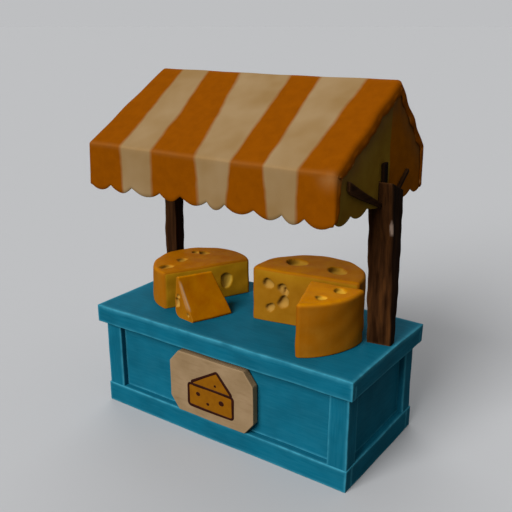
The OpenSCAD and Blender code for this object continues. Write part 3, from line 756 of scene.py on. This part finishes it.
def roofCloth():
    # one continuous sheet: the profile rear hem, rear eave, ridge, front eave, front hem, carried along the
    # stall, and turned down over both gables round a small fold
    slope = nodePoints("canopy_slope_front")
    slopeLow, slopeHigh = nodeBox("canopy_slope_front")
    halfLength, ridgeZ = slopeHigh[0], slopeHigh[2]
    eaveY = nodeBox("canopy_slope_rear")[1][1]
    eaveZ = slope[slope[:, 1] < slopeLow[1] + mm][:, 2].max()
    ridgeY = slope[slope[:, 2] > ridgeZ - mm][:, 1].mean()
    notches = np.unique(np.round(valance[np.abs(valance[:, 2] - notchZ) < 0.5 * mm][:, 0], 4))
    deep = notchZ - valance[:, 2].min()
    # the ridge is lifted so that, once rounded, it still reaches its height
    ridge = [ridgeY, ridgeZ + cloth["ridgeLift"]]
    corners = np.array([[eaveY, notchZ], [eaveY, eaveZ], ridge, [-eaveY, eaveZ], [-eaveY, notchZ]])
    radii = np.array([cloth[key] for key in ("eaveFold", "ridgeFold", "eaveFold")])
    y, z, path, out, outSoft, foldAt, total = roofProfile(corners, radii)
    halfOuter = halfLength + cloth["lap"]
    x, depth, hang, tilt = roofSection(halfOuter, halfLength)
    side = np.sign(x)
    # the grid of points, in which the valances stretch down to the scallops
    level = np.zeros((len(path), len(x)))
    gridX, gridY, gridZ = x + level, y[:, None] + level, z[:, None] + level
    alongPath = path[:, None]
    drop = scallopDrop(np.clip(x, -halfLength, halfLength), notches, deep)
    hangShare = np.clip((eaveZ - gridZ) / (eaveZ - notchZ), 0, 1)
    gridZ = gridZ - drop * hangShare ** 1.5
    # the side folds are tighter down the valances
    tighter = 1 - cloth["foldTighter"] * hangShare
    onFold = np.abs(gridX) > halfOuter - cloth["sideFold"] + 0.1 * mm
    gridX = np.where(onFold, side * (halfOuter - (halfOuter - np.abs(gridX)) * tighter), gridX)
    # slack between the rafters, and ripples that hang down the valances
    upSlope = np.interp(path, foldAt, [0, 1, 0])
    bay = np.clip(1 - (gridX / (halfLength - cloth["slackFrom"])) ** 2, 0, 1)
    sink = cloth["sag"] + cloth["ripple"] * np.sin(9 * gridX + 5 * gridY)
    sink = np.sin(math.pi * upSlope)[:, None] * bay * sink
    swing = np.sin(21 * gridX + 0.6) + 0.8 * np.sin(47 * gridX + 2 * gridZ) - 0.6
    swing = cloth["ripple"] * hangShare * swing
    points = np.stack([gridX, gridY, gridZ], -1) + out[:, None] * (swing - sink)[..., None]
    # the flaps have a wavy edge, are narrower down the valances' ends, and are rolled outwards
    wavy = np.sin(38 * path) + 0.7 * np.sin(71 * path + 1.3) + 0.5 * np.sin(139 * path + 0.4)
    flapLength = cloth["flap"] - cloth["sideFold"] + cloth["flapWave"] * wavy
    flapLength = flapLength[:, None] * (1 - cloth["flapNarrower"] * hangShare)
    points -= out[:, None] * (depth * tighter)[..., None] + outSoft[:, None] * (hang * flapLength)[..., None]
    roll = np.sin(math.pi * hang) * (0.6 + 0.4 * np.sin(61 * alongPath + 0.8))
    # the left end has stretched and flares towards its hem, and both ends belly out between ridge and eaves
    flare, nearEnd = (np.clip((run - cloth[key]) / (halfLength - cloth[key]), 0, 1) ** 2
                      for run, key in ((-gridX, "flareFrom"), (np.abs(gridX), "bulgeFrom")))
    flare *= 0.35 + 0.65 * hangShare
    bulge = nearEnd * (np.sin(math.pi * upSlope) * np.sin(5 * math.pi * upSlope + 0.4))[:, None]
    points[..., 0] += side * (cloth["roll"] * roll + cloth["bulge"] * bulge) - cloth["flare"] * flare
    normals = out[:, None] * np.cos(tilt)[:, None] + np.sin(tilt)[:, None] * np.array([1.0, 0, 0])
    # the stripe coordinate is a whole number at each stripe's end
    tables = np.array([stripeEnds[key] for key in ("hem", "eave", "ridge", "eave", "hem")]).T * mm
    ends = [np.interp(path, [0, *foldAt, total], table) for table in tables]
    ends = [0 * path - halfLength - 0.05, *ends, 0 * path + halfLength + 0.05]
    stripe = sum(np.clip((gridX - a[:, None]) / (b - a)[:, None], 0, 1) for a, b in zip(ends, ends[1:]))
    # a painted highlight along its folds and most at its front corner, with a few pale chips along its side
    # hems
    folds = zip(foldAt, cloth["highlightAndChips"])
    highlightAndChips = sum(share * np.exp(-((alongPath - at) / wide) ** 2) for at, (share, wide) in folds)
    most, acrossIt, downIt = cloth["corner"]
    corner = ((gridX - halfLength + 30 * mm) / acrossIt) ** 2
    corner = corner + ((alongPath - foldAt[2] - 30 * mm) / downIt) ** 2
    chips = 3 * np.clip(np.sin(23 * alongPath + 1.1) * np.sin(57 * alongPath + 0.3) - 0.72, 0, 1)
    highlightAndChips = np.maximum(highlightAndChips, most * np.exp(-corner))
    highlightAndChips = np.maximum(highlightAndChips, chips * (np.abs(hang - 0.9) < 0.2))
    hemShare = np.exp(-((hangShare - 1) * (eaveZ - notchZ) / cloth["hemTall"]) ** 2)
    thickness = cloth["thick"] + (cloth["hem"] - cloth["thick"]) * hemShare
    flatPlace = np.stack([x + side * hang * cloth["flap"] + level, alongPath + drop * hangShare], -1)
    attributes = {"stripe": stripe, "fold": highlightAndChips}
    piece = sheetShell("canopy_cloth", points, normals, thickness, flatPlace, attributes)
    finishPiece(piece, roofCanvas,
                ["canopy_slope_front", "canopy_slope_rear", "valance_front", "valance_rear"])


def gableCloth(side):
    # one flat sheet that closes a gable: rows from its scalloped lower edge up to the slopes, with the
    # columns over the post starting above its sawn top
    node = "gable_canvas_" + side
    sign = 1 if side == "right" else -1
    points = nodePoints(node)
    low, high = points.min(0), points.max(0)
    post = nodePoints("post_" + side)
    head = post[post[:, 2] > post[:, 2].max() - mm]
    inSlot = (points[:, 1] > head[:, 1].min() - 6 * mm) & (points[:, 1] < head[:, 1].max() + 6 * mm)
    slot = points[inSlot & (points[:, 2] > notchZ + 40 * mm) & (points[:, 2] < post[:, 2].max() + 8 * mm)]
    slotLow, slotHigh = slot[:, 1].min(), slot[:, 1].max()
    slotFrontZ = slot[slot[:, 1] < slotLow + mm][:, 2].max()
    slotRearZ = slot[slot[:, 1] > slotHigh - mm][:, 2].max()
    notches = np.unique(np.round(points[np.abs(points[:, 2] - notchZ) < 0.5 * mm][:, 1], 4))
    apex = points[points[:, 2] > high[2] - mm][:, 1].mean()
    eaves = points[np.abs(points[:, 1] - low[1]) < mm][:, 2].max()
    gap = 0.3 * mm  # the columns keep this far from the slot's sides
    tuck = cloth["gableTuck"]  # its edges stay this far inside the roof cloth's rounded side fold
    runs = ((low[1] + tuck, slotLow - gap, 90), (slotLow + gap, slotHigh - gap, 22),
            (slotHigh + gap, high[1] - tuck, 74))
    y = np.concatenate([np.linspace(*run) for run in runs])
    over = np.interp(y, [slotLow, slotHigh], [slotFrontZ, slotRearZ])
    bottom = np.where((y > slotLow) & (y < slotHigh), over, notchZ - scallopDrop(y, notches, notchZ - low[2]))
    top = np.interp(y, [low[1], apex, high[1]], [eaves, high[2], eaves]) - tuck
    t = np.linspace(0, 1, 60)[:, None]
    gridY = y + 0 * t
    gridZ = bottom * (1 - t) + top * t
    outermost = high[0] if sign > 0 else -low[0]
    slack = 1.2 * mm * np.sin(11 * gridY + 6 * gridZ) * np.sin(math.pi * t)
    gridX = sign * (outermost - cloth["gableInset"] + slack)
    attributes = {"split": gridY, "shade": np.exp(-((top - gridZ) / cloth["hemShadeTall"]) ** 2)}
    grid = np.stack([gridX, gridY, gridZ], -1)
    normals = np.array([sign, 0, 0]) + 0 * grid
    thickness = cloth["gableThick"] + 0 * gridX
    piece = sheetShell("gable_cloth_" + side, grid, normals, thickness, grid[..., 1:], attributes)
    finishPiece(piece, sideCanvas, [node])


roofCloth()
for side in ("left", "right"):
    gableCloth(side)
print("canopy made")


# how wavy an eye's rim is, how steep its walls, how far off its middle's plane it reaches, and the side on
# which its walls get a dark painted shade
eyeLook = {"wavy": (0.13, 0.07), "steep": 0.45, "within": 30 * mm, "shadeSide": (-0.8, 0.1, 0.6)}


def carveEyes(points, normals, eyes):
    # each eye sets the points inside its wavy rim back along the surface, by a share of its depth that is
    # steep at the rim and flat at the bottom: (1 - rho squared) to the power "steep", where rho is 1 on the
    # rim. An eye is its place, how far it reaches and how deep it is, in mm
    hollow, eyeShade = np.zeros(len(points)), np.zeros(len(points))
    broad, fine = eyeLook["wavy"]
    moved = points.copy()
    for index, (place, reach, deep) in enumerate(eyes):
        centre = np.array(place) * mm
        nearest = normals[np.argmin(np.linalg.norm(points - centre, axis=1))]
        away = points - centre
        height = away @ nearest
        flat = away - height[:, None] * nearest
        across = np.cross(nearest, [0.3, 0.2, 1.0])
        across /= np.linalg.norm(across)
        upward = np.cross(nearest, across)
        turn = np.arctan2(flat @ upward, flat @ across)
        rim = reach * mm * (1 + broad * np.sin(2 * turn + index) + fine * np.sin(3 * turn + 2.3 * index))
        rho = np.linalg.norm(flat, axis=1) / rim
        inside = (rho < 1) & (np.abs(height) < eyeLook["within"]) & (normals @ nearest > 0.5)
        share = np.where(inside, (1 - np.clip(rho, 0, 1) ** 2) ** eyeLook["steep"], 0)
        moved -= nearest * (share * deep * mm)[:, None]
        hollow = np.maximum(hollow, np.clip(2.5 * share, 0, 1))
        # painted shade: the eye's wall on one side is darkened, as if lit from the other side
        towards = (flat @ np.array(eyeLook["shadeSide"])) / np.linalg.norm(flat, axis=1).clip(mm)
        shadedWall = np.clip((rho - 0.5) / 0.25, 0, 1) * np.clip(1.6 * towards - 0.25, 0, 1)
        eyeShade = np.maximum(eyeShade, inside * shadedWall)
    return moved, hollow, eyeShade


def withoutShortSides(flat, near):
    # a sharp corner needs a long side on each hand to be rounded: the blunt corners close to it are dropped
    ahead = np.roll(flat, -1, 0) - flat
    heading = np.arctan2(ahead[:, 1], ahead[:, 0])
    turn = (heading - np.roll(heading, 1)) % (2 * math.pi)
    sharp = flat[turn > 0.5]
    gap = np.linalg.norm(flat[:, None] - sharp[None], axis=2).min(1)
    return flat[(turn > 0.5) | (gap > near)]


# how deep hand-made lumps are, how high above the flat foot they reach that depth, and how far below its top
# a cut side is painted paler, as a painted highlight
cheeseLook = {"lump": 0.9 * mm, "flatFoot": 30 * mm, "cutHighlightDepth": 70 * mm}


def cheesePiece(node, lightShares, eyes, along=(0, 0, 1), edge=20 * mm, cuts=(), cutEnds=0.0, coarse=7 * mm,
                swell=0.0, shape=None, streakHighlightAt=None):
    # a cut of cheese: the node's own outline with soft edges, carried along its height or length. Its light
    # shares are how much its top and its cut sides are painted brighter, as painted light, its cuts are the
    # directions that its cut sides face, in degrees, and cutEnds is how much paste its two ends show
    frameOf = basis(along)
    local = nodePoints(node) @ frameOf
    flat = withoutShortSides(hullOf(local[:, :2]), 3 * edge)
    low, high = local[:, 2].min(), local[:, 2].max()
    core, radius, out = outlineOf(flat, np.full(len(flat), edge), coarse, 9)
    # spread the columns evenly along the outline
    ring = core + radius[:, None] * out
    gap = np.linalg.norm(np.roll(ring, -1, 0) - ring, axis=1)
    reached = np.concatenate([[0], np.cumsum(gap)])
    count = int(reached[-1] / coarse)
    wanted = np.arange(count) * reached[-1] / count
    core, out = (np.stack([np.interp(wanted, reached, np.append(v, v[0])) for v in part.T], 1)
                 for part in (core, out))
    out /= np.linalg.norm(out, axis=1)[:, None]
    radius = np.full(len(core), edge + swell)
    reach = np.linalg.norm(core - core.mean(0), axis=1).mean()
    rows, normals, poles = beadedPrism((core, radius, out), low, high, (edge * 0.4, edge), coarse,
                                       (), int(reach / coarse), 7)
    points, quads, triangles = closeRows(rows, poles)
    facing = np.concatenate([normals.reshape(-1, 3), [[0, 0, -1], [0, 0, 1]]])
    rim = rimOf(points, flat, low, high, edge * 0.6)
    world, facing = points @ frameOf.T, facing @ frameOf.T
    cut = np.zeros(len(world))
    for direction in cuts:
        heading = np.array([math.cos(math.radians(direction)), math.sin(math.radians(direction)), 0])
        cut = np.maximum(cut, np.clip((facing @ heading - 0.9) / 0.08, 0, 1))
    cut = np.maximum(cut, cutEnds * np.clip((np.abs(facing @ frameOf[:, 2]) - 0.9) / 0.08, 0, 1))
    # a painted highlight streak, where one is given
    streakHighlight = streakHighlightAt(points, low, high) if streakHighlightAt else np.zeros(len(world))
    # painted light: the faces that look up are painted brighter than the rims, and a cut side is painted
    # paler near its top
    litBrighter = np.clip((facing[:, 2] - 0.3) / 0.5, 0, 1)
    upper = np.exp(-((high - points[:, 2]) / cheeseLook["cutHighlightDepth"]) ** 2)
    paintedLight = litBrighter * lightShares[0] + cut * (1 - litBrighter) * (lightShares[1] + 0.3 * upper)
    if shape:
        world = shape(world, points, low, high, frameOf)
    world, hollow, eyeShade = carveEyes(world, facing, eyes)
    rates = np.array([[31, -19, 13], [17, 37, -29], [23, 11, 41]])
    lumps = cheeseLook["lump"] * np.sin(world @ rates + [0, 1, 2]).sum(1)
    above = np.clip((world[:, 2] - nodeBox(node)[0][2]) / cheeseLook["flatFoot"], 0, 1)
    world -= facing * (lumps * above)[:, None]
    outside = hollow < 0.01
    attributes = {"cut": cut, "rim": rim * outside, "eye": hollow * np.where(facing[:, 2] > 0.5, 0.5, 1),
                  "eyeShade": 0.8 * eyeShade, "streakHighlight": streakHighlight * outside, "paintedLight": paintedLight}
    piece = makeMesh(node + "_finish", drift(world), quads, triangles, attributes)
    finishPiece(piece, cheese, [node])


# each cheese's eyes: where they are, how far they reach and how deep they are, in mm
eyes = {"half": [((-610, 220, 1010), 40, 20), ((-670, 190, 1010), 30, 15), ((-640, 0, 1010), 40, 15),
                 ((-630, -170, 1010), 45, 20), ((-340, 130, 880), 50, 25)],
        "rear": [((220, 170, 1110), 70, 35), ((520, 180, 1110), 65, 30), ((140, -50, 1010), 35, 25),
                 ((240, -40, 990), 35, 25), ((260, -30, 970), 25, 20), ((250, -40, 900), 40, 30),
                 ((160, -50, 850), 30, 20)],
        "quarter": [((640, -240, 1090), 35, 15), ((680, -80, 1090), 40, 20)],
        "wedge": [((-400, -340, 850), 35, 20), ((-380, -350, 900), 15, 10), ((-290, -360, 790), 12, 10)]}
cheesePiece("cheese_half_wheel", (0.4, 0.55), eyes["half"], cuts=(-27,), swell=1 * mm)
cheesePiece("cheese_wheel_rear", (0.7, 0.0), eyes["rear"], cuts=(-81,))
cheesePiece("cheese_wheel_quarter", (1.0, 0.0), eyes["quarter"], edge=24 * mm, cuts=(96, 199))

# which way the wedge lies, how much shorter its thin edge is, and how far its near and far ends are lifted
wedgeLook = {"turn": 158, "shorter": 75 * mm, "lift": (17 * mm, 6 * mm)}


def slantEnds(world, points, low, high, frameOf):
    # both ends of the wedge are turned or leant from square: the near one to the node's own skewed cut, and
    # the far one inwards towards the thin edge, which is shorter than the foot
    corners = nodePoints("cheese_wedge") @ frameOf
    nearest = corners[:, 2] < corners[:, 2].mean()
    slope, rest = np.polyfit(corners[nearest, 0], corners[nearest, 2], 1)
    cutAt = slope * points[:, 0] + rest
    length = (points[:, 2] - low) / (high - low)
    rise = (points[:, 1] - points[:, 1].min()) / np.ptp(points[:, 1])
    farAt = high - wedgeLook["shorter"] * rise
    moved = world + np.outer(cutAt + length * (farAt - cutAt) - points[:, 2], frameOf[:, 2])
    # the lift makes up for the height lost in rounding
    moved[:, 2] += np.interp(length, [0, 1], wedgeLook["lift"]) * rise ** 3
    return moved


def wedgeEdgeHighlight(points, low, high):
    # a painted highlight streak along the near cut's sloping edge
    height = (points[:, 1] - points[:, 1].min()) / np.ptp(points[:, 1])
    band = np.exp(-((points[:, 2] - low - 7 * mm) / (6 * mm)) ** 2)
    sloping = points[:, 0] < np.interp(height, [0, 1], [0.03, 0.14]) + points[:, 0].min()
    return 0.9 * band * sloping * np.clip((height - 0.25) / 0.1, 0, 1) * np.clip((0.93 - height) / 0.1, 0, 1)


wedgeTurn = math.radians(wedgeLook["turn"])
wedgeAlong = (math.sin(wedgeTurn), -math.cos(wedgeTurn), 0)
cheesePiece("cheese_wedge", (1.7, 0.2), eyes["wedge"], wedgeAlong, 10 * mm, cutEnds=0.4, coarse=6 * mm,
            swell=3 * mm, shape=slantEnds, streakHighlightAt=wedgeEdgeHighlight)
print("cheeses made")


# each lamp: the direction that it shines from, its strength and how many degrees wide it is
studio = {"backdrop": "#bebfc1", "bounce": 0.12, "sky": 0.18, "floorShare": 0.97,
          "key": ((-0.1, -0.88, 0.6), 3.2, 35), "top": ((0.0, 0.0, 1.0), 0.45, 80),
          "rear": ((-0.55, 0.75, 0.35), 1.3, 60)}


def floorMaterial():
    # plain matt studio floor; it shows the backdrop's grey and throws little of it back on the object
    material, tree = startMaterial("mattStudioFloor")
    seen = add(tree, "LightPath", {}, "Is Camera Ray")
    grey = tuple(c * studio["floorShare"] for c in linear(studio["backdrop"])[:3]) + (1.0,)
    colour = coats(tree, (studio["bounce"],) * 3 + (1.0,), (seen, grey))
    return finishMaterial(material, colour, 0.0, 1.0, 1.5)


def makeFloor():
    # a wide disc, made as rings of a polar grid
    radius, rings, spokes = 400.0, 12, 96
    r = radius * np.linspace(0, 1, rings + 1)[1:] ** 3
    a = np.arange(spokes) * 2 * math.pi / spokes
    grid = np.stack([np.outer(r, np.cos(a)), np.outer(r, np.sin(a)), np.zeros((rings, spokes))], -1)
    points = np.concatenate([grid.reshape(-1, 3), [[0, 0, 0]]])
    k = np.arange(spokes)
    fan = np.stack([np.full(spokes, rings * spokes), k, (k + 1) % spokes], 1)
    mesh = bpy.data.meshes.new("studio_floor")
    mesh.from_pydata(points.tolist(), [], ringQuads(rings, spokes)[:, ::-1].tolist() + fan.tolist())
    floor = bpy.data.objects.new("studio_floor", mesh)
    floor.data.materials.append(floorMaterial())
    bpy.context.scene.collection.objects.link(floor)


def makeSky():
    # an even, dim surround that lights the object from all sides, and shows as the backdrop's grey
    world = bpy.data.worlds.new("studio")
    bpy.context.scene.world = world
    world.use_nodes = True
    tree = world.node_tree
    tree.nodes.clear()
    rays = [add(tree, "LightPath", {}, key) for key in ("Is Camera Ray", "Is Transmission Ray")]
    seen = add(tree, "Math", dict(enumerate(rays)), operation="MAXIMUM")
    light = add(tree, "Background", {"Color": (1, 1, 1, 1), "Strength": studio["sky"]})
    shown = add(tree, "Background", {"Color": linear(studio["backdrop"]), "Strength": 1.0})
    mixed = add(tree, "MixShader", {0: seen, 1: light, 2: shown})
    add(tree, "OutputWorld", {"Surface": mixed})


def makeLamp(name):
    # a broad, far lamp that shines from a direction
    direction, strength, spread = studio[name]
    lamp = bpy.data.lights.new(name + "_lamp", "SUN")
    lamp.energy, lamp.angle = strength, math.radians(spread)
    holder = bpy.data.objects.new(name + "_lamp", lamp)
    holder.visible_glossy = name == "key"  # the fill lamps are too broad to leave a shine
    bpy.context.scene.collection.objects.link(holder)
    back = np.array(direction) / np.linalg.norm(direction)
    holder.rotation_euler = (math.acos(back[2]), 0, math.atan2(back[1], back[0]) + math.pi / 2)


makeFloor()
makeSky()
for lampName in ("key", "top", "rear"):
    makeLamp(lampName)

view = {"place": (2.5505, -3.6465, 2.6279), "down": 18.26, "turn": 34.89, "lens": 50.0}
camera = bpy.data.objects.new("camera", bpy.data.cameras.new("camera"))
camera.data.lens = view["lens"]
camera.data.sensor_width = 36.0
camera.location = view["place"]
camera.rotation_euler = (math.radians(90 - view["down"]), 0, math.radians(view["turn"]))
bpy.context.scene.collection.objects.link(camera)
bpy.context.scene.camera = camera
bpy.context.scene.view_settings.view_transform = "Standard"
print("studio made")
